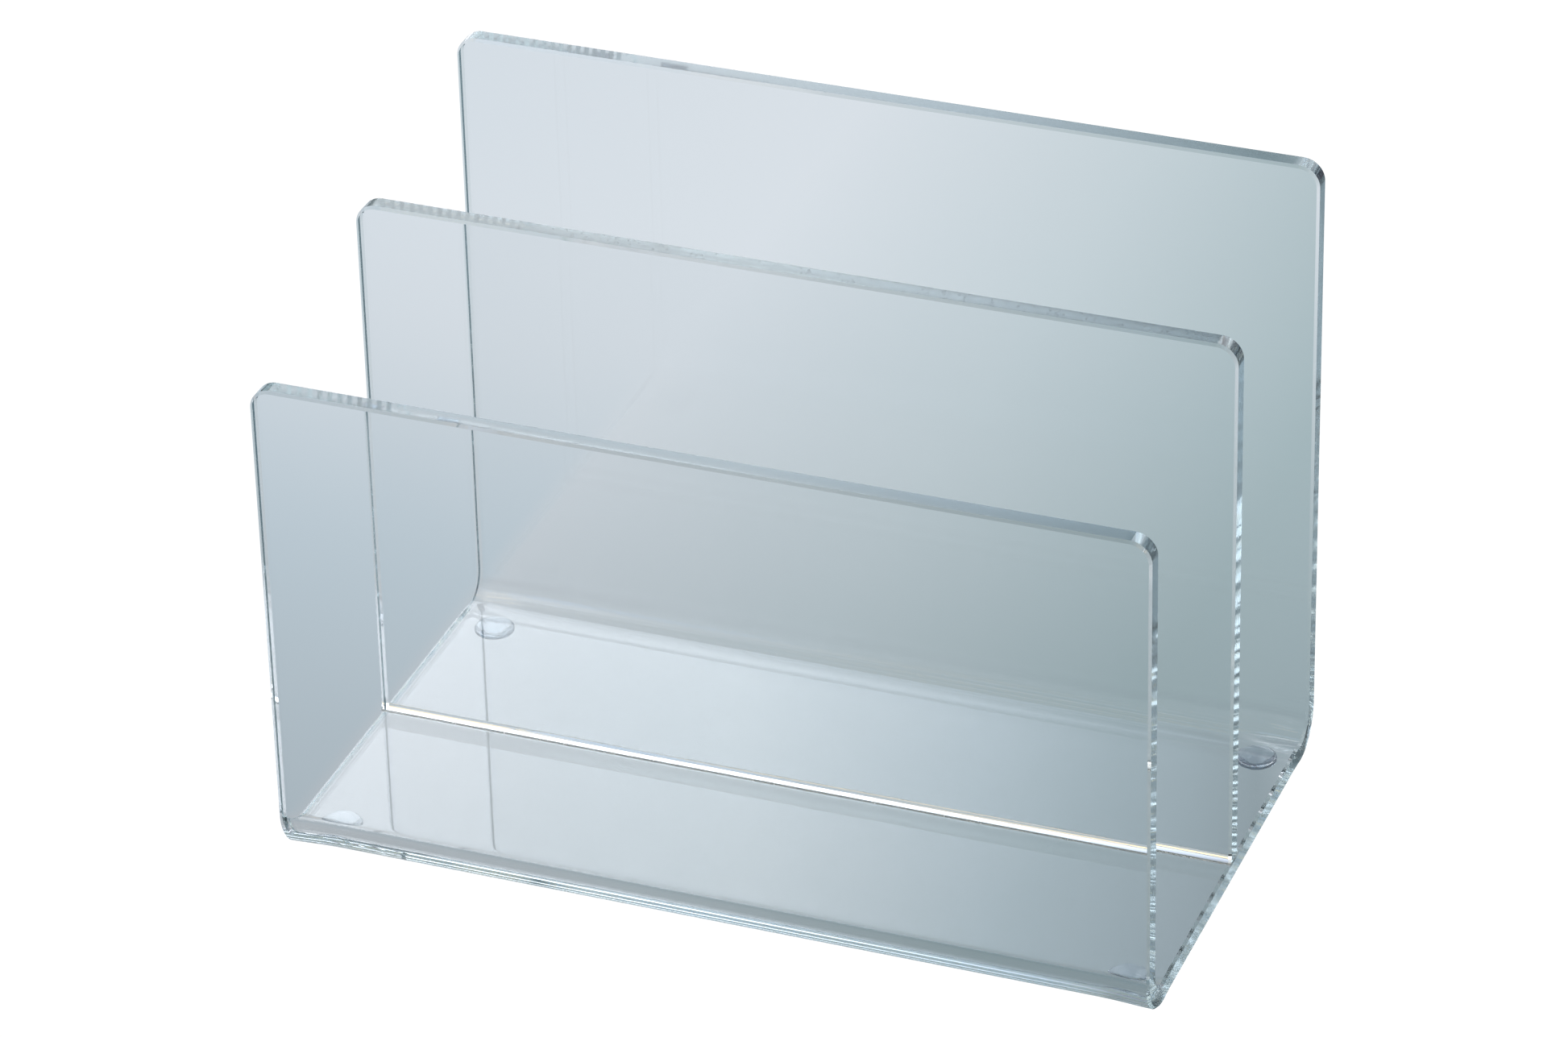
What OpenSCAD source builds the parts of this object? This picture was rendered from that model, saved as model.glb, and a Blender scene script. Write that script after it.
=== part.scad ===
// Desk rack for letters and magazines, in clear acrylic sheet.
// One sheet is heated along two lines and bent up into a low front, a base and a tall back.
// A divider is cemented upright on the base and makes two pockets.
// The rack stands on self-adhesive bumpers.
// X runs along the rack, +Y to the back and +Z up. The origin is at the middle of the
// footprint, on the surface that the bumpers rest on.

/* [Rack] */
// Width of the rack, along X
rack_w = 205; // [160:1:260]
// Depth of the rack, outside the front to outside the back
rack_d = 122; // [100:1:160]
// Height of the front above the underside of the base
front_h = 121; // [60:1:160]
// Height of the divider's top above the underside of the base
divider_top_h = 136.5; // [60:0.5:200]
// Height of the back above the underside of the base
back_h = 150; // [60:1:240]

/* [Sheet] */
// Thickness of the acrylic sheet
sheet_t = 5; // [3:0.5:6]
// Inner radius of the two line bends
bend_inner_r = 6; // [4:0.5:12]
// Radius of the upper corners of the front, divider and back
corner_r = 5; // [2:0.5:12]

/* [Cement joint] */
// Thickness of the cement film under the divider
cement_film_t = 0.1; // [0.05:0.05:0.3]
// Radius of the hollow cement bead on each side of the divider's foot
cement_bead_r = 0.5; // [0.3:0.1:1.5]

/* [Bumpers] */
// Diameter of a bumper
bumper_d = 9.5; // [7:0.5:11]
// Height of a bumper, without its adhesive
bumper_h = 2; // [1.6:0.1:4]
// Diameter of the flat that a bumper rests on
bumper_flat_d = 4; // [2:0.1:5]
// Height of the straight rim of a bumper
bumper_rim_h = 0.6; // [0.3:0.1:1]
// Thickness of the adhesive disc over a bumper
adhesive_t = 0.2; // [0.1:0.05:0.4]
// Distance of the adhesive's edge inside the bumper's edge
adhesive_inset = 0.25; // [0:0.05:1]
// Distance of a bumper's centre from the side of the rack
bumper_side_inset = 9; // [6:0.5:30]

/* [Hidden] */
// Clear blue-grey of the sheet, the cement and the bumpers, with their opacity.
ACRYLIC = [0.84, 0.90, 0.93, 0.35];
CEMENT = [0.93, 0.95, 0.96, 0.45];
BUMPER = [0.88, 0.91, 0.93, 0.55];
// The underside of the base stands this high.
base_z = bumper_h + adhesive_t;
bend_outer_r = bend_inner_r + sheet_t;
front_y = -rack_d / 2;
back_y = rack_d / 2;
// The divider stands in the middle of the depth, on its film of cement.
divider_z = base_z + sheet_t + cement_film_t;
divider_h = base_z + divider_top_h - divider_z;
// The bumpers stand where the base is flat, clear of both bends.
bumper_x = rack_w / 2 - bumper_side_inset;
bumper_y = rack_d / 2 - bend_outer_r - bumper_d / 2;
bumper_r = bumper_d / 2;
bumper_flat_r = bumper_flat_d / 2;
// The dome is an arc from the rim to the flat, with its centre on the bumper's axis.
dome_h = bumper_h - bumper_rim_h;
dome_centre = (pow(bumper_r, 2) - pow(bumper_flat_r, 2) - pow(dome_h, 2)) / (2 * dome_h);
dome_r = sqrt(pow(bumper_r, 2) + pow(dome_centre, 2));
// Cutting shapes run this far past what they cut.
over = 1;
$fn = 96;

// The section of one bend: a quarter of a ring, below and to the left of its centre.
module quarter_ring(outer_r, inner_r) {
    intersection() {
        difference() {
            circle(r = outer_r);
            circle(r = inner_r);
        }
        translate([-outer_r, -outer_r])
            square(outer_r);
    }
}

// The section of the whole bent sheet: a U with a low front and a tall back.
module bent_section() {
    flat_w = rack_d - 2 * bend_outer_r;
    for (side = [0, 1]) {
        mirror([side, 0])
            translate([front_y + bend_outer_r, bend_outer_r])
                quarter_ring(bend_outer_r, bend_inner_r);
    }
    translate([-flat_w / 2, 0])
        square([flat_w, sheet_t]);
    translate([front_y, bend_outer_r])
        square([sheet_t, front_h - bend_outer_r]);
    translate([back_y - sheet_t, bend_outer_r])
        square([sheet_t, back_h - bend_outer_r]);
}

// What is cut off both upper corners of a sheet that stands across Y.
module corner_waste(top_z, y_from, y_to) {
    for (side = [0, 1]) {
        mirror([side, 0, 0])
            translate([rack_w / 2 - corner_r, y_to + over, top_z - corner_r])
                rotate([90, 0, 0])
                    linear_extrude(height = y_to - y_from + 2 * over)
                        difference() {
                            square(corner_r + over);
                            circle(r = corner_r);
                        }
    }
}

module bent_sheet() {
    color(ACRYLIC)
        difference() {
            translate([-rack_w / 2, 0, base_z])
                rotate([90, 0, 90])
                    linear_extrude(height = rack_w)
                        bent_section();
            corner_waste(base_z + front_h, front_y, front_y + sheet_t);
            corner_waste(base_z + back_h, back_y - sheet_t, back_y);
        }
}

module divider() {
    color(ACRYLIC)
        difference() {
            translate([-rack_w / 2, -sheet_t / 2, divider_z])
                cube([rack_w, sheet_t, divider_h]);
            corner_waste(base_z + divider_top_h, -sheet_t / 2, sheet_t / 2);
        }
}

// The film under the divider, with a hollow bead along both of its lower edges.
module cement_joint() {
    color(CEMENT)
        translate([-rack_w / 2, 0, base_z + sheet_t])
            rotate([90, 0, 90])
                linear_extrude(height = rack_w) {
                    translate([-sheet_t / 2, 0])
                        square([sheet_t, cement_film_t]);
                    for (side = [0, 1]) {
                        mirror([side, 0])
                            translate([sheet_t / 2, 0])
                                difference() {
                                    square(cement_bead_r);
                                    translate([cement_bead_r, cement_bead_r])
                                        circle(r = cement_bead_r);
                                }
                    }
                }
}

// side is -1 on the left and 1 on the right; face is -1 at the front and 1 at the back.
module bumper(side, face) {
    color(BUMPER)
        translate([side * bumper_x, face * bumper_y, 0])
            rotate_extrude() {
                translate([0, dome_h])
                    square([bumper_r, bumper_rim_h]);
                intersection() {
                    translate([0, dome_h + dome_centre])
                        circle(r = dome_r);
                    square([bumper_r, dome_h]);
                }
            }
}

module adhesive(side, face) {
    color(CEMENT)
        translate([side * bumper_x, face * bumper_y, bumper_h])
            cylinder(r = bumper_r - adhesive_inset, h = adhesive_t);
}

bent_sheet();
divider();
cement_joint();
bumper(-1, -1);  // bumper_front_left
bumper(1, -1);  // bumper_front_right
bumper(-1, 1);  // bumper_back_left
bumper(1, 1);  // bumper_back_right
adhesive(-1, -1);  // adhesive_front_left
adhesive(1, -1);  // adhesive_front_right
adhesive(-1, 1);  // adhesive_back_left
adhesive(1, 1);  // adhesive_back_right
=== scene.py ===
import math
import random

import bmesh
import bpy
from mathutils import Matrix, Vector


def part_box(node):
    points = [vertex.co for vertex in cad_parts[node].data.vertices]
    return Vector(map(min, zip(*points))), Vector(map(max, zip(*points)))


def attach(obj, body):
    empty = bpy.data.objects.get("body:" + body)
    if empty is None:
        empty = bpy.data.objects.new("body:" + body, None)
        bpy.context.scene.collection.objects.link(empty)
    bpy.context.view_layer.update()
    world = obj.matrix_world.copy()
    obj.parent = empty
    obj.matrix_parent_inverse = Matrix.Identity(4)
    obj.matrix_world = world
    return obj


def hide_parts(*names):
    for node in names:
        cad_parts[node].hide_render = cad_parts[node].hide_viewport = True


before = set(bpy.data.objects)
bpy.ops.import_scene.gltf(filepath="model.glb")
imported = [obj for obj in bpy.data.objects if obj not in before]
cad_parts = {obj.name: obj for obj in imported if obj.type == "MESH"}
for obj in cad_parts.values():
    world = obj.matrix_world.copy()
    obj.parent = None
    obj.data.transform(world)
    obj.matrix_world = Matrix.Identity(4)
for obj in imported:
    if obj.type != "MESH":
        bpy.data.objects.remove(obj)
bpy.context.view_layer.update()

# Lengths are in metres, in the CAD frame: X along the rack, +Y to the back, +Z up.
MM = 0.001

# ---------------------------------------------------------------- sizes taken from the frame
SHEET_LOW, SHEET_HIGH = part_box("bent_sheet")
DIVIDER_LOW, DIVIDER_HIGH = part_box("divider")
CEMENT_LOW, CEMENT_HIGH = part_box("cement_joint")
SHEET_T = DIVIDER_HIGH.y - DIVIDER_LOW.y
HALF_W = SHEET_HIGH.x
SHEET_POINTS = [v.co.copy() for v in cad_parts["bent_sheet"].data.vertices]
FRONT_TOP = max(p.z for p in SHEET_POINTS if p.y < 0)
BACK_TOP = SHEET_HIGH.z
BASE_Z = SHEET_LOW.z
# The outer wall starts where a bend ends, and the top edge starts where a rounded corner ends.
NEAR = 0.01 * MM
BEND_OUTER_R = min(p.z for p in SHEET_POINTS if p.y < SHEET_LOW.y + NEAR) - BASE_Z
CORNER_R = HALF_W - max(p.x for p in SHEET_POINTS if p.z > BACK_TOP - NEAR)

# ---------------------------------------------------------------- shape of the sheet
# The polished bevel round the sheets' edges, except at the divider's foot
EDGE_BEVEL = 0.6 * MM
# Two points across each edge face, as shares of the thickness, and how far they follow the crown
RIM_LEVELS = (0.32, 0.68)
CROWN_SHARE = 0.3
# The divider's foot has its lower edges eased by this height. It is flat between these shares of the
# thickness, from its front face, and slopes up behind them. That sets the width of the bright line there.
FOOT_BEVEL = 0.24 * MM
FOOT_FLAT = (0.05, 0.54)
FOOT_LEVELS = (FOOT_FLAT[0], FOOT_FLAT[0] + 0.1, FOOT_FLAT[1], 0.99)
# The slope's height as a share of the bevel
FOOT_SLOPE = 0.98
GRID_PITCH = 1.5 * MM
CORNER_STEPS = 14
BEND_STEPS = 30
# How far a line bend's ends bulge down, over what length, how far past the bend, and how steeply
FLARE_DEPTH = 0.55 * MM
FLARE_LENGTH = 17 * MM
FLARE_MARGIN = 5 * MM
FLARE_STEEPNESS = 1.4
# Saw and polishing marks left in the top edges: their depth, number, pitches, strengths, and how far
# they shift from one point across the edge to the next
RIPPLE_DEPTH = 0.0006 * MM
RIPPLE_COUNT = 7
RIPPLE_PITCH_MM = (2.2, 9.0)
RIPPLE_STRENGTH = (0.4, 1.0)
RIPPLE_SHIFT = 0.7 * MM
# How far an edge face is rounded off towards its bevels
EDGE_CROWN = 0.008 * MM
SEED = 7
CEMENT_SEED = SEED + 20
ADHESIVE_SEED = SEED + 30
# About a full turn, for the waves, and the last phase that a wave may start from
WAVE_TURN = 6.283
LAST_PHASE = 6.28
# Faces of the sheets that meet at more than this have a sharp edge between them
SHARP_ANGLE = math.radians(10)


def bent_path(distance):
    """Outer point and inward direction of the bent sheet's section, as (y, z, inward y, inward z)."""
    front_y = SHEET_LOW.y
    back_y = SHEET_HIGH.y
    bend_z = BASE_Z + BEND_OUTER_R
    wall = FRONT_TOP - bend_z
    arc = BEND_OUTER_R * math.pi / 2
    flat = back_y - front_y - 2 * BEND_OUTER_R
    if distance <= wall:
        return front_y, FRONT_TOP - distance, 1.0, 0.0
    distance -= wall
    if distance <= arc:
        turn = distance / BEND_OUTER_R
        inward_y, inward_z = math.cos(turn), math.sin(turn)
        centre_y = front_y + BEND_OUTER_R
        return centre_y - BEND_OUTER_R * inward_y, bend_z - BEND_OUTER_R * inward_z, inward_y, inward_z
    distance -= arc
    if distance <= flat:
        return front_y + BEND_OUTER_R + distance, BASE_Z, 0.0, 1.0
    distance -= flat
    if distance <= arc:
        turn = distance / BEND_OUTER_R
        inward_y, inward_z = -math.sin(turn), math.cos(turn)
        centre_y = back_y - BEND_OUTER_R
        return centre_y - BEND_OUTER_R * inward_y, bend_z - BEND_OUTER_R * inward_z, inward_y, inward_z
    distance -= arc
    return back_y, bend_z + distance, -1.0, 0.0


def bend_spans():
    """Where the two bends begin and end along the path."""
    wall = FRONT_TOP - BASE_Z - BEND_OUTER_R
    arc = BEND_OUTER_R * math.pi / 2
    flat = SHEET_HIGH.y - SHEET_LOW.y - 2 * BEND_OUTER_R
    return [(wall, wall + arc), (wall + arc + flat, wall + arc + flat + arc)]


def path_length():
    return bend_spans()[1][1] + BACK_TOP - BASE_Z - BEND_OUTER_R


def divider_path(distance):
    """Outer point and inward direction of the divider's section."""
    return DIVIDER_LOW.y, DIVIDER_HIGH.z - distance, 1.0, 0.0


def smooth_step(value):
    value = min(1.0, max(0.0, value))
    return value * value * (3 - 2 * value)


def flare(x, distance):
    """How far a bend's end drops, near the side of the sheet."""
    side = smooth_step((abs(x) - (HALF_W - FLARE_LENGTH)) / FLARE_LENGTH)
    drop = 0.0
    for begin, end in bend_spans():
        middle, reach = (begin + end) / 2, (end - begin) / 2 + FLARE_MARGIN
        along = max(0.0, 1 - abs(distance - middle) / reach)
        drop += FLARE_DEPTH * side * side * smooth_step(along * FLARE_STEEPNESS)
    return drop


def steps_between(begin, end, pitch):
    count = max(1, round((end - begin) / pitch))
    return [begin + (end - begin) * i / count for i in range(1, count + 1)]


def sheet_rows(length, spans, round_end, end_bevel):
    """Rows along a sheet, from its top edge.

    A row is the rim's distance and half width, the face's distance and half width, and the direction in
    which the rim is cut back, along and across.
    """
    rows = []
    face_r = CORNER_R - EDGE_BEVEL
    for i in range(CORNER_STEPS + 1):
        turn = math.pi / 2 * i / CORNER_STEPS
        out, down = math.sin(turn), math.cos(turn)
        rows.append((
            CORNER_R * (1 - down), HALF_W - CORNER_R * (1 - out),
            CORNER_R - face_r * down, HALF_W - CORNER_R + face_r * out, down, -out,
        ))
    stops = []
    last = CORNER_R
    for begin, end in spans:
        stops += steps_between(last, begin, GRID_PITCH)
        stops += steps_between(begin, end, (end - begin) / BEND_STEPS)
        last = end
    finish_at = length - CORNER_R if round_end else length
    stops += steps_between(last, finish_at, GRID_PITCH)
    for stop in stops[:-1]:
        rows.append((stop, HALF_W, stop, HALF_W - EDGE_BEVEL, 0.0, -1.0))
    if round_end:
        for rim_s, rim_w, face_s, face_w, along, across in reversed(rows[:CORNER_STEPS + 1]):
            rows.append((length - rim_s, rim_w, length - face_s, face_w, -along, across))
    else:
        rows.append((length, HALF_W, length - end_bevel, HALF_W - EDGE_BEVEL, 0.0, -1.0))
    return rows


def ripples(seed):
    """Small irregular waves for a polished edge, 0 to 1."""
    draw = random.Random(seed)
    waves = []
    for _ in range(RIPPLE_COUNT):
        pitch = draw.uniform(*RIPPLE_PITCH_MM) * MM
        phase = draw.uniform(0, LAST_PHASE)
        waves.append((pitch, phase, draw.uniform(*RIPPLE_STRENGTH)))
    total = sum(weight for _, _, weight in waves)

    def at(distance):
        value = sum(weight * math.sin(WAVE_TURN * distance / pitch + phase) for pitch, phase, weight in waves)
        return 0.5 + 0.5 * value / total

    return at


def build_sheet(name, path, length, spans, round_end, end_bevel, thickness, seed, drop=None):
    """A sheet that follows a path of its section, with bevelled, slightly crowned edges."""
    rows = sheet_rows(length, spans, round_end, end_bevel)
    columns = round(2 * HALF_W / GRID_PITCH) + 1
    across = [-1 + 2 * j / (columns - 1) for j in range(columns)]
    verts, faces, rim_faces = [], [], []
    wave = ripples(seed)

    def point(distance, depth, x):
        y, z, inward_y, inward_z = path(distance)
        z_drop = drop(x, distance) if drop else 0.0
        verts.append((x, y + inward_y * depth, z + inward_z * depth - z_drop))
        return len(verts) - 1

    outer = [[point(r[2], 0.0, r[3] * u) for u in across] for r in rows]
    inner = [[point(r[2], thickness, r[3] * u) for u in across] for r in rows]
    for k in range(len(rows) - 1):
        for j in range(columns - 1):
            faces.append((outer[k][j], outer[k][j + 1], outer[k + 1][j + 1], outer[k + 1][j]))
            faces.append((inner[k][j], inner[k + 1][j], inner[k + 1][j + 1], inner[k][j + 1]))
    last = len(rows) - 1
    ring = [(0, j) for j in range(columns)]
    ring += [(k, columns - 1) for k in range(1, last + 1)]
    ring += [(last, j) for j in range(columns - 2, -1, -1)]
    ring += [(k, 0) for k in range(last - 1, 0, -1)]
    depths = [
        (EDGE_BEVEL, EDGE_CROWN), (thickness * RIM_LEVELS[0], EDGE_CROWN * CROWN_SHARE),
        (thickness * RIM_LEVELS[1], EDGE_CROWN * CROWN_SHARE), (thickness - EDGE_BEVEL, EDGE_CROWN),
    ]
    loops = [[outer[k][j] for k, j in ring]]
    for n, (depth, tuck) in enumerate(depths):
        loop = []
        for k, j in ring:
            rim_s, rim_w, _, _, along, over = rows[k]
            level = depth
            cut = tuck
            # The foot has its own levels, and only the end of its slope is cut back.
            if not round_end and k == last:
                along, over = -1.0, 0.0
                level = thickness * FOOT_LEVELS[n]
                cut = end_bevel * FOOT_SLOPE if n == len(depths) - 1 else 0.0
            elif k in (0, last):
                run = rim_s + across[j] * rim_w
                cut = tuck + RIPPLE_DEPTH * wave(run + RIPPLE_SHIFT * n)
            loop.append(point(rim_s + along * cut, level, across[j] * (rim_w + over * cut)))
        loops.append(loop)
    loops.append([inner[k][j] for k, j in ring])
    for a, b in zip(loops, loops[1:]):
        for i in range(len(ring)):
            n = (i + 1) % len(ring)
            rim_faces.append((a[i], b[i], b[n], a[n]))
    return make_mesh(name, verts, faces, rim_faces, SHARP_ANGLE)


def make_mesh(name, verts, faces, rim_faces, sharp_angle):
    """A closed mesh object; its faces carry an "edge_face" number, 1 on the cut edges of a sheet."""
    mesh = bpy.data.meshes.new(name)
    mesh.from_pydata(verts, [], faces + rim_faces)
    work = bmesh.new()
    work.from_mesh(mesh)
    bmesh.ops.recalc_face_normals(work, faces=work.faces)
    work.to_mesh(mesh)
    work.free()
    mesh.polygons.foreach_set("use_smooth", [True] * len(mesh.polygons))
    mesh.set_sharp_from_angle(angle=sharp_angle)
    flags = mesh.attributes.new("edge_face", "FLOAT", "FACE")
    flags.data.foreach_set("value", [0.0] * len(faces) + [1.0] * len(rim_faces))
    piece = bpy.data.objects.new(name, mesh)
    bpy.context.scene.collection.objects.link(piece)
    return piece


def loft(name, sections, sharp_angle):
    """A closed solid through sections of the same number of points."""
    count = len(sections[0])
    verts = [p for section in sections for p in section]
    faces = [tuple(range(count - 1, -1, -1)), tuple(range(len(verts) - count, len(verts)))]
    for s in range(len(sections) - 1):
        for i in range(count):
            n = (i + 1) % count
            faces.append((s * count + i, s * count + n, (s + 1) * count + n, (s + 1) * count + i))
    return make_mesh(name, verts, faces, [], sharp_angle)


# ---------------------------------------------------------------- cement joint
CEMENT_GAP = 0.012 * MM
BEAD_R = CEMENT_HIGH.z - CEMENT_LOW.z
BEAD_ARC_STEPS = 7
CEMENT_PITCH = 1.1 * MM
CEMENT_SHARP_ANGLE = math.radians(40)
# A bead's share of its full size, and how far waves and unevenness change it
BEAD_SHARE = 0.76
BEAD_SWING = 0.2
BEAD_UNEVEN = 0.04
BEAD_WAVES = 4
BEAD_PITCH_MM = (6, 60)


def build_cement():
    """The film under the divider and its two hollow beads, a little uneven along the joint."""
    draw = random.Random(CEMENT_SEED)
    waves = [
        (draw.uniform(*BEAD_PITCH_MM) * MM, draw.uniform(0, LAST_PHASE)) for _ in range(2 * BEAD_WAVES)
    ]
    low = CEMENT_LOW.z + CEMENT_GAP
    film = DIVIDER_LOW.z - CEMENT_GAP
    side = SHEET_T / 2 + CEMENT_GAP
    sections = []
    stops = [-HALF_W] + steps_between(-HALF_W, HALF_W, CEMENT_PITCH)
    for x in stops:
        sizes = []
        for side_waves in (waves[:BEAD_WAVES], waves[BEAD_WAVES:]):
            swing = sum(math.sin(WAVE_TURN * x / pitch + phase) for pitch, phase in side_waves) / BEAD_WAVES
            share = BEAD_SHARE + BEAD_SWING * swing + BEAD_UNEVEN * draw.random()
            sizes.append(BEAD_R * share - CEMENT_GAP)
        section = []
        for sign, r in ((1, sizes[0]), (-1, sizes[1])):
            arc = []
            for i in range(BEAD_ARC_STEPS + 1):
                turn = math.pi / 2 * i / BEAD_ARC_STEPS
                arc.append((x, sign * (side + r * (1 - math.sin(turn))), low + r * (1 - math.cos(turn))))
            arc.append((x, sign * side, film))
            section += arc if sign > 0 else arc[::-1]
        sections.append(section)
    return loft("cement_joint_fine", sections, CEMENT_SHARP_ANGLE)


# ---------------------------------------------------------------- bumpers
BUMPER_SEGMENTS = 72
DOME_STEPS = 18
ROUND_SHARP_ANGLE = math.radians(35)
# The straight rim and the flat, as in the CAD
BUMPER_RIM = 0.6 * MM
BUMPER_FLAT_R = 2.0 * MM
# Two points across the flat, as shares of its radius
BUMPER_FLAT_STOPS = (0.55, 0.92)
# The rounding of the upper edge, and the share of it that its middle point is cut back
BUMPER_ROUND = 0.12 * MM
BUMPER_ROUND_SHARE = 0.3


def build_bumper(name, node):
    """A moulded dome: a small flat, an arc up to a straight rim, and soft edges."""
    low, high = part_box(node)
    radius = (high.x - low.x) / 2
    centre_x, centre_y = (low.x + high.x) / 2, (low.y + high.y) / 2
    dome = high.z - low.z - BUMPER_RIM
    offset = (radius ** 2 - BUMPER_FLAT_R ** 2 - dome ** 2) / (2 * dome)
    dome_r = math.hypot(radius, offset)
    centre_z = low.z + dome + offset
    profile = [(BUMPER_FLAT_R * share, low.z) for share in BUMPER_FLAT_STOPS]
    first = math.asin(BUMPER_FLAT_R / dome_r)
    final = math.asin(min(1.0, radius / dome_r))
    for i in range(1, DOME_STEPS + 1):
        turn = first + (final - first) * i / DOME_STEPS
        profile.append((dome_r * math.sin(turn), centre_z - dome_r * math.cos(turn)))
    profile.append((radius, high.z - BUMPER_ROUND))
    cut_back = BUMPER_ROUND * BUMPER_ROUND_SHARE
    profile.append((radius - cut_back, high.z - cut_back))
    profile.append((radius - BUMPER_ROUND, high.z))
    sections = []
    for r, z in profile:
        ring = []
        for i in range(BUMPER_SEGMENTS):
            turn = 2 * math.pi * i / BUMPER_SEGMENTS
            ring.append((centre_x + r * math.cos(turn), centre_y + r * math.sin(turn), z))
        sections.append(ring)
    piece = loft(name, sections, ROUND_SHARP_ANGLE)
    wetted = piece.data.attributes.new("wetted_face", "FLOAT", "FACE")
    top = high.z - NEAR
    wetted.data.foreach_set("value", [1.0 if face.center.z > top else 0.0 for face in piece.data.polygons])
    return piece


# ---------------------------------------------------------------- adhesive discs
ADHESIVE_GAP = 0.008 * MM
# How far the edge is tucked in below and at mid height, how far it wanders, and in how many waves
ADHESIVE_LOW_TUCK = 0.02 * MM
ADHESIVE_MIDDLE_TUCK = 0.09 * MM
ADHESIVE_WANDER = 0.06 * MM
ADHESIVE_WAVES = 4


def build_adhesive(name, node, seed):
    """A disc of adhesive whose edge is not quite round."""
    low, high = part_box(node)
    radius = (high.x - low.x) / 2
    centre_x, centre_y = (low.x + high.x) / 2, (low.y + high.y) / 2
    draw = random.Random(seed)
    phases = [draw.uniform(0, LAST_PHASE) for _ in range(ADHESIVE_WAVES)]
    sections = []
    levels = (
        (low.z + ADHESIVE_GAP, ADHESIVE_LOW_TUCK),
        ((low.z + high.z) / 2, ADHESIVE_MIDDLE_TUCK),
        (high.z - ADHESIVE_GAP, 0.0),
    )
    for z, tuck in levels:
        ring = []
        for i in range(BUMPER_SEGMENTS):
            turn = 2 * math.pi * i / BUMPER_SEGMENTS
            wobble = sum(math.sin(k * turn + phase) for k, phase in enumerate(phases, 2)) / ADHESIVE_WAVES
            r = radius - tuck - ADHESIVE_WANDER * (1 + wobble)
            ring.append((centre_x + r * math.cos(turn), centre_y + r * math.sin(turn), z))
        sections.append(ring)
    return loft(name, sections, ROUND_SHARP_ANGLE)


# ---------------------------------------------------------------- materials
WHITE = (1.0, 1.0, 1.0)
ACRYLIC_IOR = 1.49
CEMENT_IOR = 1.48
BUMPER_IOR = 1.47
ADHESIVE_IOR = 1.47
# Roughness of a mark on a face, of the cut edges, and what the ends of the base have more
MARK_ROUGHNESS = 0.045
EDGE_ROUGHNESS = (0.03, 0.06)
END_ROUGHNESS = 0.035
# The share of the base's thickness at which its extra roughness starts to fade out
END_FADE = 0.94
# Heights of the waves in the faces and in the cut edges, and of the relief in the small parts
FACE_WAVE = 0.02 * MM
EDGE_WAVE = 0.0015 * MM
BUBBLE_RELIEF = 0.08 * MM
FLOW_RELIEF = 0.01 * MM
PATCH_RELIEF = 0.002 * MM
# How many times finer the hairlines' noise is along X, Y and Z, for each of their two directions
HAIRLINES_LEVEL = (90, 90, 2600)
HAIRLINES_UPRIGHT = (1900, 1900, 70)
# How fine the noise or the cells are, per metre
DUST_SCALE = 1500.0
POLISH_SCALE = 260.0
TINT_SCALE = 14.0
FACE_WAVE_SCALE = 26.0
EDGE_WAVE_SCALE = 420.0
BUBBLE_SCALE = 900.0
CEMENT_TINT_SCALE = 120.0
FLOW_SCALE = 300.0
SPECK_SCALE = 2600.0
PATCH_SCALE = 1100.0
# Light that runs along the inside of a sheet loses about a fifth in each 100 mm, most in red.
ABSORB_COLOUR = (0.40, 0.54, 0.58)
ABSORB_DENSITY = 4.5
BUMPER_ABSORB_COLOUR = (0.62, 0.68, 0.72)
BUMPER_ABSORB_DENSITY = 330.0
# The reflection's tint where a neighbour wets the face, so that it reflects almost nothing
WETTED = (0.06, 0.06, 0.06)


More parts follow.
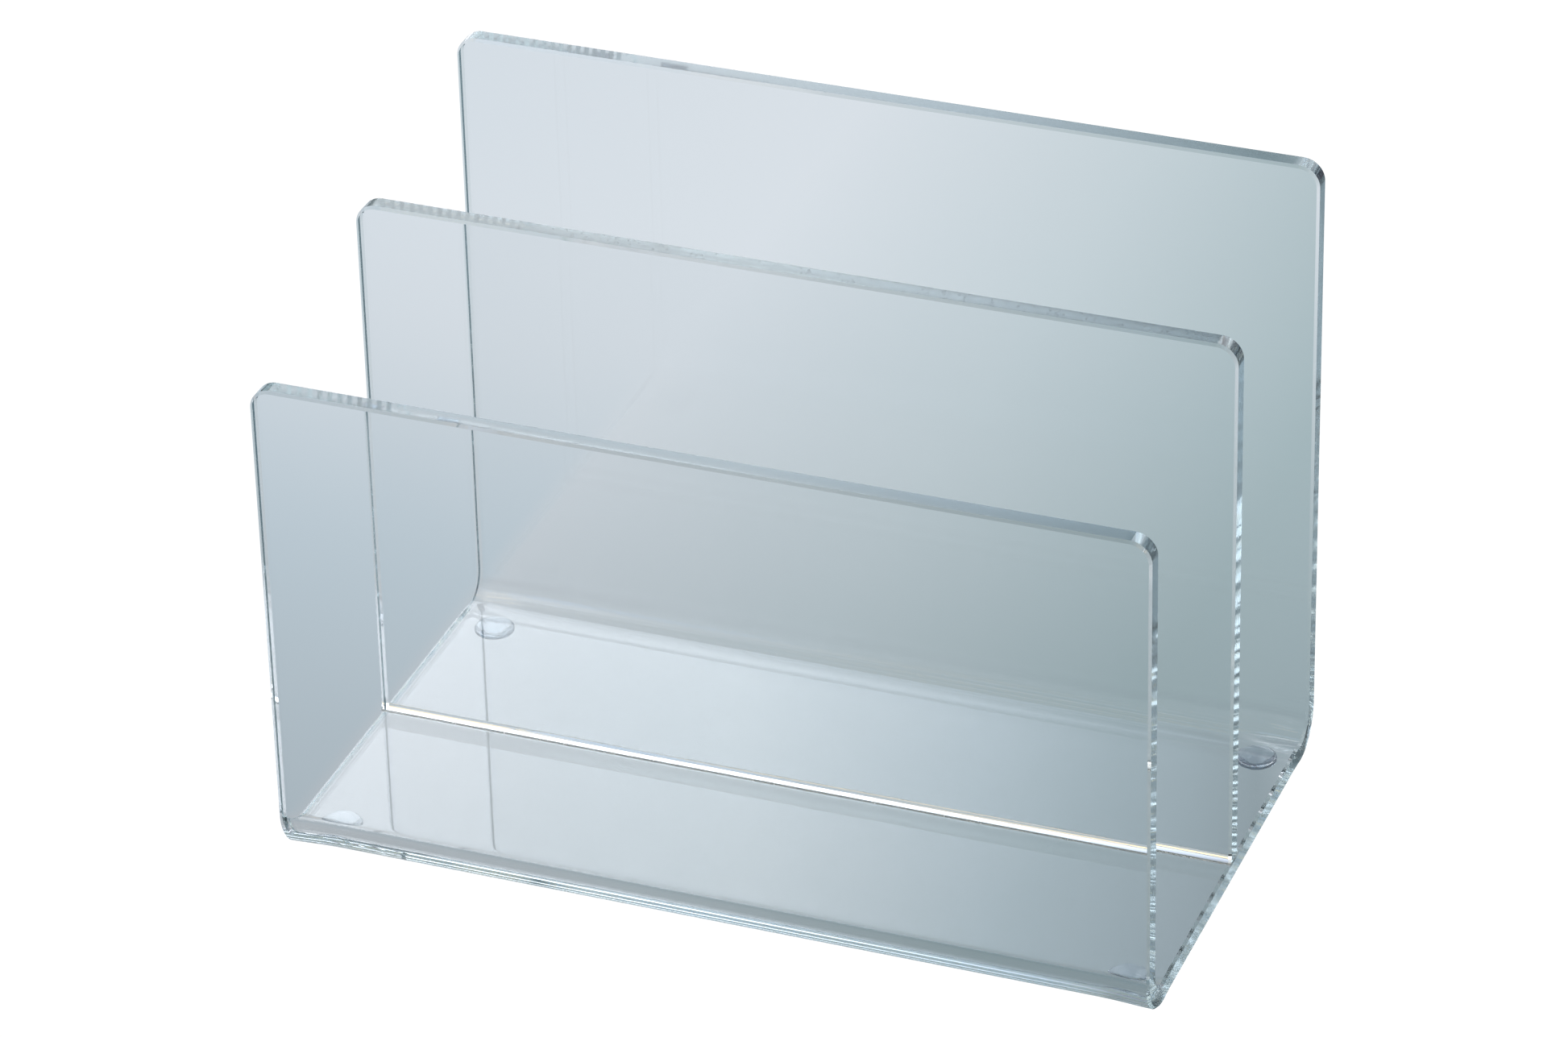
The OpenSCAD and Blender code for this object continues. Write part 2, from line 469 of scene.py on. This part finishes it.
class Nodes:
    """Short calls for making a node tree."""

    def __init__(self, tree):
        self.tree = tree
        tree.nodes.clear()

    def add(self, kind, **settings):
        node = self.tree.nodes.new(kind)
        for key, value in settings.items():
            setattr(node, key, value)
        return node

    def link(self, source, target):
        self.tree.links.new(source, target)

    def noise(self, vector, scale, detail=4.0, rough=0.55):
        node = self.add("ShaderNodeTexNoise")
        node.inputs["Scale"].default_value = scale
        node.inputs["Detail"].default_value = detail
        node.inputs["Roughness"].default_value = rough
        self.link(vector, node.inputs["Vector"])
        return node.outputs["Fac"]

    def mapping(self, vector, scale):
        node = self.add("ShaderNodeMapping")
        node.inputs["Scale"].default_value = scale
        self.link(vector, node.inputs["Vector"])
        return node.outputs["Vector"]

    def ramp(self, factor, stops):
        node = self.add("ShaderNodeValToRGB")
        ramp = node.color_ramp
        while len(ramp.elements) < len(stops):
            ramp.elements.new(0.5)
        for element, (place, colour) in zip(ramp.elements, stops):
            element.position = place
            element.color = (*colour, 1.0) if isinstance(colour, tuple) else (colour, colour, colour, 1.0)
        self.link(factor, node.inputs["Fac"])
        return node.outputs["Color"]

    def span(self, value, low, high, to_low, to_high, smooth=False):
        node = self.add("ShaderNodeMapRange")
        node.interpolation_type = "SMOOTHSTEP" if smooth else "LINEAR"
        for socket, number in zip(("From Min", "From Max", "To Min", "To Max"), (low, high, to_low, to_high)):
            node.inputs[socket].default_value = number
        self.link(value, node.inputs["Value"])
        return node.outputs["Result"]

    def math(self, operation, first, second):
        node = self.add("ShaderNodeMath", operation=operation)
        for socket, value in zip(node.inputs, (first, second)):
            if isinstance(value, (int, float)):
                socket.default_value = value
            else:
                self.link(value, socket)
        return node.outputs["Value"]

    def blend(self, factor, first, second, blend_type="MIX"):
        node = self.add("ShaderNodeMix", data_type="RGBA", blend_type=blend_type)
        # Inputs 6 and 7 and output 2 are those of a colour mix.
        sockets = (node.inputs["Factor"], node.inputs[6], node.inputs[7])
        for socket, value in zip(sockets, (factor, first, second)):
            if isinstance(value, (int, float)):
                socket.default_value = value
            elif isinstance(value, tuple):
                socket.default_value = (*value, 1.0)
            else:
                self.link(value, socket)
        return node.outputs[2]

    def bump(self, height, distance, strength=1.0, normal=None):
        node = self.add("ShaderNodeBump")
        node.inputs["Strength"].default_value = strength
        node.inputs["Distance"].default_value = distance
        self.link(height, node.inputs["Height"])
        if normal is not None:
            self.link(normal, node.inputs["Normal"])
        return node.outputs["Normal"]


def new_material(name):
    material = bpy.data.materials.new(name)
    material.use_nodes = True
    return material, Nodes(material.node_tree)


def glass_output(n, shader, absorb_colour, absorb_density):
    """Ends a clear material: its surface, and what its inside absorbs."""
    out = n.add("ShaderNodeOutputMaterial")
    n.link(shader.outputs["BSDF"], out.inputs["Surface"])
    volume = n.add("ShaderNodeVolumeAbsorption")
    volume.inputs["Color"].default_value = (*absorb_colour, 1.0)
    volume.inputs["Density"].default_value = absorb_density
    n.link(volume.outputs["Volume"], out.inputs["Volume"])


def acrylic_material():
    """Clear acrylic: polished faces with hairlines and dust, and edges with fine polishing marks."""
    material, n = new_material("clear_acrylic_sheet")
    place = n.add("ShaderNodeTexCoord").outputs["Object"]
    edge = n.add("ShaderNodeAttribute", attribute_name="edge_face").outputs["Fac"]
    shader = n.add("ShaderNodeBsdfPrincipled")
    shader.inputs["IOR"].default_value = ACRYLIC_IOR
    shader.inputs["Transmission Weight"].default_value = 1.0
    # Hairlines: stretched noise, thresholded to thin faint streaks.
    streaks = n.span(n.noise(n.mapping(place, HAIRLINES_LEVEL), 1.0, 2.0), 0.66, 0.74, 0.0, 1.0)
    crossing = n.span(n.noise(n.mapping(place, HAIRLINES_UPRIGHT), 1.0, 2.0), 0.69, 0.76, 0.0, 1.0)
    dust = n.span(n.noise(place, DUST_SCALE, 2.0), 0.735, 0.79, 0.0, 1.0)
    marks = n.math("MAXIMUM", n.math("MAXIMUM", streaks, crossing), dust)
    face_rough = n.span(marks, 0.0, 1.0, 0.0, MARK_ROUGHNESS)
    edge_rough = n.span(n.noise(place, POLISH_SCALE, 3.0), 0.35, 0.7, *EDGE_ROUGHNESS)
    # The ends of the base are less polished than the other edges.
    fade_low = BASE_Z + END_FADE * SHEET_T
    fade_high = BASE_Z + SHEET_T
    split = n.add("ShaderNodeSeparateXYZ")
    n.link(place, split.inputs["Vector"])
    satin = n.span(split.outputs["Z"], fade_low, fade_high, END_ROUGHNESS, 0.0, True)
    edge_rough = n.math("ADD", edge_rough, satin)
    # Inputs 0, 2 and 3 of a number mix are its factor and its two numbers.
    rough = n.add("ShaderNodeMix", data_type="FLOAT")
    n.link(edge, rough.inputs[0])
    n.link(face_rough, rough.inputs[2])
    n.link(edge_rough, rough.inputs[3])
    n.link(rough.outputs[0], shader.inputs["Roughness"])
    tint = n.ramp(n.noise(place, TINT_SCALE, 3.0), [(0.3, (0.988, 0.995, 0.998)), (0.75, (1.0, 1.0, 1.0))])
    n.link(tint, shader.inputs["Base Color"])
    # The faces have long shallow waves, and the cut edges have short fine ones as well.
    face_wave = n.bump(n.noise(place, FACE_WAVE_SCALE, 1.0), FACE_WAVE)
    fine_waves = n.math("MULTIPLY", n.noise(place, EDGE_WAVE_SCALE, 3.0), edge)
    edge_wave = n.bump(fine_waves, EDGE_WAVE, normal=face_wave)
    n.link(edge_wave, shader.inputs["Normal"])
    glass_output(n, shader, ABSORB_COLOUR, ABSORB_DENSITY)
    return material


def cement_material():
    """Hardened solvent cement: clear, with trapped bubbles."""
    material, n = new_material("solvent_cement")
    place = n.add("ShaderNodeTexCoord").outputs["Object"]
    shader = n.add("ShaderNodeBsdfPrincipled")
    shader.inputs["IOR"].default_value = CEMENT_IOR
    shader.inputs["Transmission Weight"].default_value = 0.85
    cells = n.add("ShaderNodeTexVoronoi")
    cells.inputs["Scale"].default_value = BUBBLE_SCALE
    n.link(place, cells.inputs["Vector"])
    bubbles = n.span(cells.outputs["Distance"], 0.12, 0.3, 1.0, 0.0, True)
    n.link(n.span(bubbles, 0.0, 1.0, 0.05, 0.3), shader.inputs["Roughness"])
    tint = n.ramp(n.noise(place, CEMENT_TINT_SCALE), [(0.35, (0.95, 0.94, 0.91)), (0.7, (1.0, 0.985, 0.95))])
    n.link(tint, shader.inputs["Base Color"])
    n.link(n.bump(bubbles, BUBBLE_RELIEF), shader.inputs["Normal"])
    out = n.add("ShaderNodeOutputMaterial")
    n.link(shader.outputs["BSDF"], out.inputs["Surface"])
    return material


def bumper_material():
    """Clear soft polyurethane: faint haze, moulding flow marks and dust on its face."""
    material, n = new_material("clear_polyurethane")
    place = n.add("ShaderNodeTexCoord").outputs["Object"]
    shader = n.add("ShaderNodeBsdfPrincipled")
    shader.inputs["IOR"].default_value = BUMPER_IOR
    shader.inputs["Transmission Weight"].default_value = 0.98
    flow = n.noise(place, FLOW_SCALE, 4.0)
    specks = n.span(n.noise(place, SPECK_SCALE, 2.0), 0.66, 0.74, 0.0, 1.0)
    haze = n.span(flow, 0.3, 0.7, 0.0, 0.03)
    dust = n.span(specks, 0, 1, 0, 0.12)
    n.link(n.math("ADD", haze, dust), shader.inputs["Roughness"])
    tint = n.ramp(flow, [(0.3, (0.90, 0.935, 0.955)), (0.7, (0.98, 0.99, 1.0))])
    n.link(tint, shader.inputs["Base Color"])
    n.link(n.bump(flow, FLOW_RELIEF), shader.inputs["Normal"])
    top = n.add("ShaderNodeAttribute", attribute_name="wetted_face").outputs["Fac"]
    n.link(n.blend(top, WHITE, WETTED), shader.inputs["Specular Tint"])
    glass_output(n, shader, BUMPER_ABSORB_COLOUR, BUMPER_ABSORB_DENSITY)
    return material


def adhesive_material():
    """Clear pressure-sensitive adhesive with small unwetted patches."""
    material, n = new_material("clear_adhesive")
    place = n.add("ShaderNodeTexCoord").outputs["Object"]
    shader = n.add("ShaderNodeBsdfPrincipled")
    shader.inputs["IOR"].default_value = ADHESIVE_IOR
    shader.inputs["Transmission Weight"].default_value = 1.0
    shader.inputs["Specular Tint"].default_value = (*WETTED, 1.0)
    patches = n.span(n.noise(place, PATCH_SCALE, 3.0), 0.56, 0.66, 0.0, 1.0, True)
    n.link(n.span(patches, 0.0, 1.0, 0.0, 0.08), shader.inputs["Roughness"])
    tint = n.ramp(patches, [(0.0, (0.98, 0.99, 1.0)), (1.0, (0.95, 0.965, 0.975))])
    n.link(tint, shader.inputs["Base Color"])
    n.link(n.bump(patches, PATCH_RELIEF), shader.inputs["Normal"])
    out = n.add("ShaderNodeOutputMaterial")
    n.link(shader.outputs["BSDF"], out.inputs["Surface"])
    return material


# ---------------------------------------------------------------- the pieces
ACRYLIC = acrylic_material()
CEMENT = cement_material()
POLYURETHANE = bumper_material()
ADHESIVE = adhesive_material()


def dress(piece, node, material):
    """Gives a piece its material, attaches it to the root body, and hides the CAD node that it stands for."""
    piece.data.materials.append(material)
    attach(piece, "root")
    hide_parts(node)


bent_sheet = build_sheet(
    "bent_sheet_fine", bent_path, path_length(), bend_spans(),
    round_end=True, end_bevel=EDGE_BEVEL, thickness=SHEET_T, seed=SEED, drop=flare,
)
dress(bent_sheet, "bent_sheet", ACRYLIC)
divider = build_sheet(
    "divider_fine", divider_path, DIVIDER_HIGH.z - DIVIDER_LOW.z, [],
    round_end=False, end_bevel=FOOT_BEVEL, thickness=SHEET_T, seed=SEED + 1,
)
dress(divider, "divider", ACRYLIC)
dress(build_cement(), "cement_joint", CEMENT)
for number, corner in enumerate(("front_left", "front_right", "back_left", "back_right")):
    bumper = build_bumper(f"bumper_{corner}_fine", f"bumper_{corner}")
    dress(bumper, f"bumper_{corner}", POLYURETHANE)
    disc = build_adhesive(f"adhesive_{corner}_fine", f"adhesive_{corner}", ADHESIVE_SEED + number)
    dress(disc, f"adhesive_{corner}", ADHESIVE)


# ---------------------------------------------------------------- stage
def emission_material(name, build):
    material, n = new_material(name)
    shader = n.add("ShaderNodeEmission")
    build(n, shader)
    out = n.add("ShaderNodeOutputMaterial")
    n.link(shader.outputs["Emission"], out.inputs["Surface"])
    return material


def stage_mesh(name, verts, faces, material, seen_by_camera):
    """A stage object that only the camera sees, or that only the light through the rack sees."""
    mesh = bpy.data.meshes.new(name)
    mesh.from_pydata(verts, [], faces)
    mesh.materials.append(material)
    thing = bpy.data.objects.new(name, mesh)
    bpy.context.scene.collection.objects.link(thing)
    thing.visible_camera = seen_by_camera
    thing.visible_diffuse = not seen_by_camera
    thing.visible_glossy = not seen_by_camera
    thing.visible_transmission = not seen_by_camera
    thing.visible_shadow = False
    return thing


def rectangle(x_low, x_high, y_low, y_high, z):
    return [(x_low, y_low, z), (x_high, y_low, z), (x_high, y_high, z), (x_low, y_high, z)]


FLOOR_SIZE = 6.0
FLOOR_CORNERS = (-FLOOR_SIZE, FLOOR_SIZE, -FLOOR_SIZE, FLOOR_SIZE)
DOME_RADIUS = FLOOR_SIZE * 0.9
# A little over white, so that the paper is white all over
PAPER_STRENGTH = 1.05
TABLE_Z = -1 * MM
# The table's colours, with painted light that is lighter to the left and darker to the right, run from this
# far to the left to this far to the right.
TABLE_REACH = 0.30
# Its brightness, painted light that is lighter to the back, rises from the first to the second number between
# these places along Y.
TABLE_DEPTH = (-0.12, 0.26)
TABLE_PAINTED_LIGHT_STRENGTH = (0.61, 1.03)
# To the left of the first X and before the first Y, the table's colour is multiplied by the tint:
# painted shade, darker and bluer beside and before the rack's base. Both limits blend over to the
# second number, and the tint fades out towards the back.
OPEN_TABLE_PAINTED_SHADE_TINT = (0.87, 0.95, 0.985)
OPEN_TABLE_X = (-0.112, -0.104)
OPEN_TABLE_Y = (-0.064, -0.054)
OPEN_TABLE_FADE_Y = (0.05, 0.20)


def white_look(n, shader):
    shader.inputs["Color"].default_value = (*WHITE, 1.0)
    shader.inputs["Strength"].default_value = PAPER_STRENGTH


def painted_light_table_look(n, shader):
    """The pale grey table under the rack, glowing with painted light: lighter to the back and to the left."""
    place = n.add("ShaderNodeTexCoord").outputs["Object"]
    split = n.add("ShaderNodeSeparateXYZ")
    n.link(place, split.inputs["Vector"])
    # Painted light: the colour darkens from left to right, and the strength brightens it towards the back.
    across = n.span(split.outputs["X"], -TABLE_REACH, TABLE_REACH, 0.0, 1.0)
    colour = n.ramp(across, [
        (0.15, (0.69, 0.745, 0.80)), (0.32, (0.71, 0.76, 0.81)), (0.46, (0.57, 0.65, 0.69)),
        (0.60, (0.39, 0.49, 0.52)), (0.75, (0.35, 0.44, 0.49)),
    ])
    depth = n.span(split.outputs["Y"], *TABLE_DEPTH, *TABLE_PAINTED_LIGHT_STRENGTH, True)
    # To the left of the rack and before it, painted shade makes it darker and bluer, fading out to the back.
    beside = n.span(split.outputs["X"], *OPEN_TABLE_X, 1.0, 0.0, True)
    before = n.span(split.outputs["Y"], *OPEN_TABLE_Y, 1.0, 0.0, True)
    nearer = n.span(split.outputs["Y"], *OPEN_TABLE_FADE_Y, 1.0, 0.0, True)
    painted_open_shade = n.math("MULTIPLY", n.math("MAXIMUM", beside, before), nearer)
    colour = n.blend(painted_open_shade, colour, OPEN_TABLE_PAINTED_SHADE_TINT, "MULTIPLY")
    n.link(colour, shader.inputs["Color"])
    n.link(depth, shader.inputs["Strength"])


ONE_FACE = [(0, 1, 2, 3)]
stage_mesh(
    "paper_floor", rectangle(*FLOOR_CORNERS, 0.0), ONE_FACE,
    emission_material("white_paper", white_look), seen_by_camera=True,
)
# The table glows with painted light, and only the light through the rack sees it.
stage_mesh(
    "table_top", rectangle(*FLOOR_CORNERS, TABLE_Z), ONE_FACE,
    emission_material("painted_light_table", painted_light_table_look), seen_by_camera=False,
)

SCREEN_Y = 0.62
SCREEN_LOW = -0.02
SCREEN_HIGH = 0.70
SCREEN_LEFT = -0.55
SCREEN_RIGHT = 0.50
SCREEN_STRENGTH = 3.1
# The screen fades out over this height below its top, and the right screen fades in between these heights.
SCREEN_FADE = 0.06
RAISED_FROM = 0.22
RAISED_TO = 0.30
# The screens' colours run from this far to the left to this far to the right.
SCREEN_REACH = 0.60
SCREEN_LIT = (0.88, 0.93, 1.0)
SCREEN_DARK = (0.05, 0.045, 0.06)
RAISED_DARK = (0.03, 0.025, 0.035)
BLACK = (0.0, 0.0, 0.0)


def screen_look(n, shader):
    """Two lit paper screens behind the rack, a tall one to the left and a raised one to the right."""
    place = n.add("ShaderNodeTexCoord").outputs["Object"]
    split = n.add("ShaderNodeSeparateXYZ")
    n.link(place, split.inputs["Vector"])
    across = n.span(split.outputs["X"], -SCREEN_REACH, SCREEN_REACH, 0.0, 1.0)
    left = n.ramp(across, [
        (0.04, BLACK), (0.10, (0.90, 0.95, 1.0)), (0.28, SCREEN_LIT), (0.353, (0.54, 0.60, 0.69)),
        (0.415, (0.21, 0.24, 0.29)), (0.44, SCREEN_DARK),
    ])
    right = n.ramp(across, [(0.435, BLACK), (0.465, SCREEN_LIT), (0.76, SCREEN_LIT), (0.86, SCREEN_DARK)])
    raised = n.span(split.outputs["Z"], RAISED_FROM, RAISED_TO, 0.0, 1.0, True)
    upper = n.span(split.outputs["Z"], SCREEN_HIGH - SCREEN_FADE, SCREEN_HIGH, 1.0, 0.0, True)
    light = n.blend(1.0, left, n.blend(raised, RAISED_DARK, right), "ADD")
    n.link(light, shader.inputs["Color"])
    n.link(n.math("MULTIPLY", upper, SCREEN_STRENGTH), shader.inputs["Strength"])


stage_mesh("lit_screen", [
    (SCREEN_LEFT, SCREEN_Y, SCREEN_LOW), (SCREEN_RIGHT, SCREEN_Y, SCREEN_LOW),
    (SCREEN_RIGHT, SCREEN_Y, SCREEN_HIGH), (SCREEN_LEFT, SCREEN_Y, SCREEN_HIGH),
], ONE_FACE, emission_material("lit_paper", screen_look), seen_by_camera=False)


def white_dome():
    """The white backdrop that the camera sees above the floor."""
    work = bmesh.new()
    bmesh.ops.create_uvsphere(work, u_segments=48, v_segments=24, radius=DOME_RADIUS)
    mesh = bpy.data.meshes.new("backdrop_dome")
    work.to_mesh(mesh)
    work.free()
    verts = [tuple(v.co) for v in mesh.vertices]
    faces = [tuple(p.vertices) for p in mesh.polygons]
    material = emission_material("white_backdrop", white_look)
    stage_mesh("backdrop_dome", verts, faces, material, seen_by_camera=True)


white_dome()


def soft_light(name, place, aim, size_x, size_y, power, colour):
    """A rectangular soft light that points at a place and that the camera doesn't see."""
    light = bpy.data.lights.new(name, "AREA")
    light.shape = "RECTANGLE"
    light.size = size_x
    light.size_y = size_y
    light.energy = power
    light.color = colour
    lamp = bpy.data.objects.new(name, light)
    bpy.context.scene.collection.objects.link(lamp)
    lamp.location = place
    lamp.rotation_mode = "QUATERNION"
    lamp.rotation_quaternion = (Vector(aim) - Vector(place)).to_track_quat("-Z", "Y")
    lamp.visible_camera = False
    return lamp


MIDDLE = (0.0, 0.0, 0.06)
soft_light(
    "key_left", place=(-0.95, -0.25, 0.95), aim=MIDDLE, size_x=1.1, size_y=1.1,
    power=5.0, colour=(1.0, 0.97, 0.93),
)
soft_light(
    "top_right", place=(0.75, -0.35, 1.1), aim=MIDDLE, size_x=0.5, size_y=0.5,
    power=0.8, colour=(0.93, 0.97, 1.0),
)

# The ceiling's spots: their colours, how fine their noise is, the noise's level at their edge, and how far
# the cool spots' noise is moved so that it differs from the warm ones'
WARM_SPOT = (2.0, 1.6, 0.95)
COOL_SPOT = (1.1, 1.5, 2.1)
WARM_SCALE = 7.0
COOL_SCALE = 8.0
SPOT_EDGE = (0.60, 0.64)
COOL_SHIFT = (3.0, 5.0, 1.0)
# Heights of a direction, from 0 level to 1 straight up: where the ceiling starts, and where the darker front
# stops counting in full and keeps only this share
CEILING = (0.62, 0.72)
FRONT_FADE = (0.25, 0.5)
FRONT_SHARE = 0.15


def spots(n, direction, scale, overhead):
    """Small patches of the studio's ceiling."""
    patches = n.span(n.noise(direction, scale, 1.0), *SPOT_EDGE, 0.0, 1.0, True)
    return n.math("MULTIPLY", patches, overhead)


def studio_world():
    """The pale studio around: darker near the horizon and to the front, with warm and cool spots overhead."""
    world = bpy.data.worlds.new("studio")
    bpy.context.scene.world = world
    world.use_nodes = True
    n = Nodes(world.node_tree)
    direction = n.add("ShaderNodeTexCoord").outputs["Generated"]
    split = n.add("ShaderNodeSeparateXYZ")
    n.link(direction, split.inputs["Vector"])
    rise = n.ramp(n.span(split.outputs["Z"], 0.0, 1.0, 0.0, 1.0), [
        (0.0, (0.13, 0.13, 0.15)), (0.12, (0.18, 0.19, 0.21)), (0.35, (0.44, 0.49, 0.52)),
        (0.6, (0.54, 0.60, 0.63)), (1.0, (0.50, 0.56, 0.59)),
    ])
    depth = n.ramp(n.span(split.outputs["Y"], -1.0, 1.0, 0.0, 1.0), [
        (0.0, (0.25, 0.24, 0.27)), (0.45, (0.7, 0.72, 0.74)), (1.0, (1.0, 1.0, 1.0)),
    ])
    overhead = n.span(split.outputs["Z"], *CEILING, 0.0, 1.0, True)
    warm = spots(n, direction, WARM_SCALE, overhead)
    shifted = n.add("ShaderNodeVectorMath", operation="ADD")
    n.link(direction, shifted.inputs[0])
    shifted.inputs[1].default_value = COOL_SHIFT
    cool = spots(n, shifted.outputs["Vector"], COOL_SCALE, overhead)
    # Overhead, the darker front counts for little.
    depth_share = n.span(split.outputs["Z"], *FRONT_FADE, 1.0, FRONT_SHARE, True)
    studio = n.blend(depth_share, rise, depth, "MULTIPLY")
    studio = n.blend(warm, studio, WARM_SPOT)
    studio = n.blend(cool, studio, COOL_SPOT)
    background = n.add("ShaderNodeBackground")
    n.link(studio, background.inputs["Color"])
    out = n.add("ShaderNodeOutputWorld")
    n.link(background.outputs["Background"], out.inputs["Surface"])


studio_world()

# ---------------------------------------------------------------- camera
# The camera stands in front, to the right and above, with no shift.
CAMERA_PLACE = (0.46646, -1.18712, 0.83530)
CAMERA_AZIMUTH = math.radians(21.575)
CAMERA_DOWN = math.radians(30.773)
CAMERA_ROLL = math.radians(-1.479)
CAMERA_LENS = 153.63


def make_camera():
    ahead = Vector((
        -math.sin(CAMERA_AZIMUTH) * math.cos(CAMERA_DOWN),
        math.cos(CAMERA_AZIMUTH) * math.cos(CAMERA_DOWN),
        -math.sin(CAMERA_DOWN),
    ))
    level = Vector((math.cos(CAMERA_AZIMUTH), math.sin(CAMERA_AZIMUTH), 0.0))
    upward = level.cross(ahead)
    right = math.cos(CAMERA_ROLL) * level + math.sin(CAMERA_ROLL) * upward
    up = -math.sin(CAMERA_ROLL) * level + math.cos(CAMERA_ROLL) * upward
    data = bpy.data.cameras.new("camera")
    data.sensor_width = 36.0
    data.lens = CAMERA_LENS
    data.clip_start = 0.05
    data.clip_end = 50.0
    camera = bpy.data.objects.new("camera", data)
    bpy.context.scene.collection.objects.link(camera)
    turn = Matrix((right, up, -ahead)).transposed().to_4x4()
    camera.matrix_world = Matrix.Translation(CAMERA_PLACE) @ turn
    bpy.context.scene.camera = camera


make_camera()

# ---------------------------------------------------------------- light paths and picture
LIGHT_BOUNCES = 64
scene = bpy.context.scene
scene.cycles.max_bounces = LIGHT_BOUNCES
scene.cycles.transmission_bounces = LIGHT_BOUNCES
scene.cycles.glossy_bounces = LIGHT_BOUNCES
scene.cycles.volume_bounces = 0
scene.cycles.caustics_reflective = True
scene.cycles.caustics_refractive = True
scene.cycles.sample_clamp_indirect = 6.0
scene.cycles.use_denoising = True
scene.view_settings.view_transform = "Standard"
scene.view_settings.look = "None"
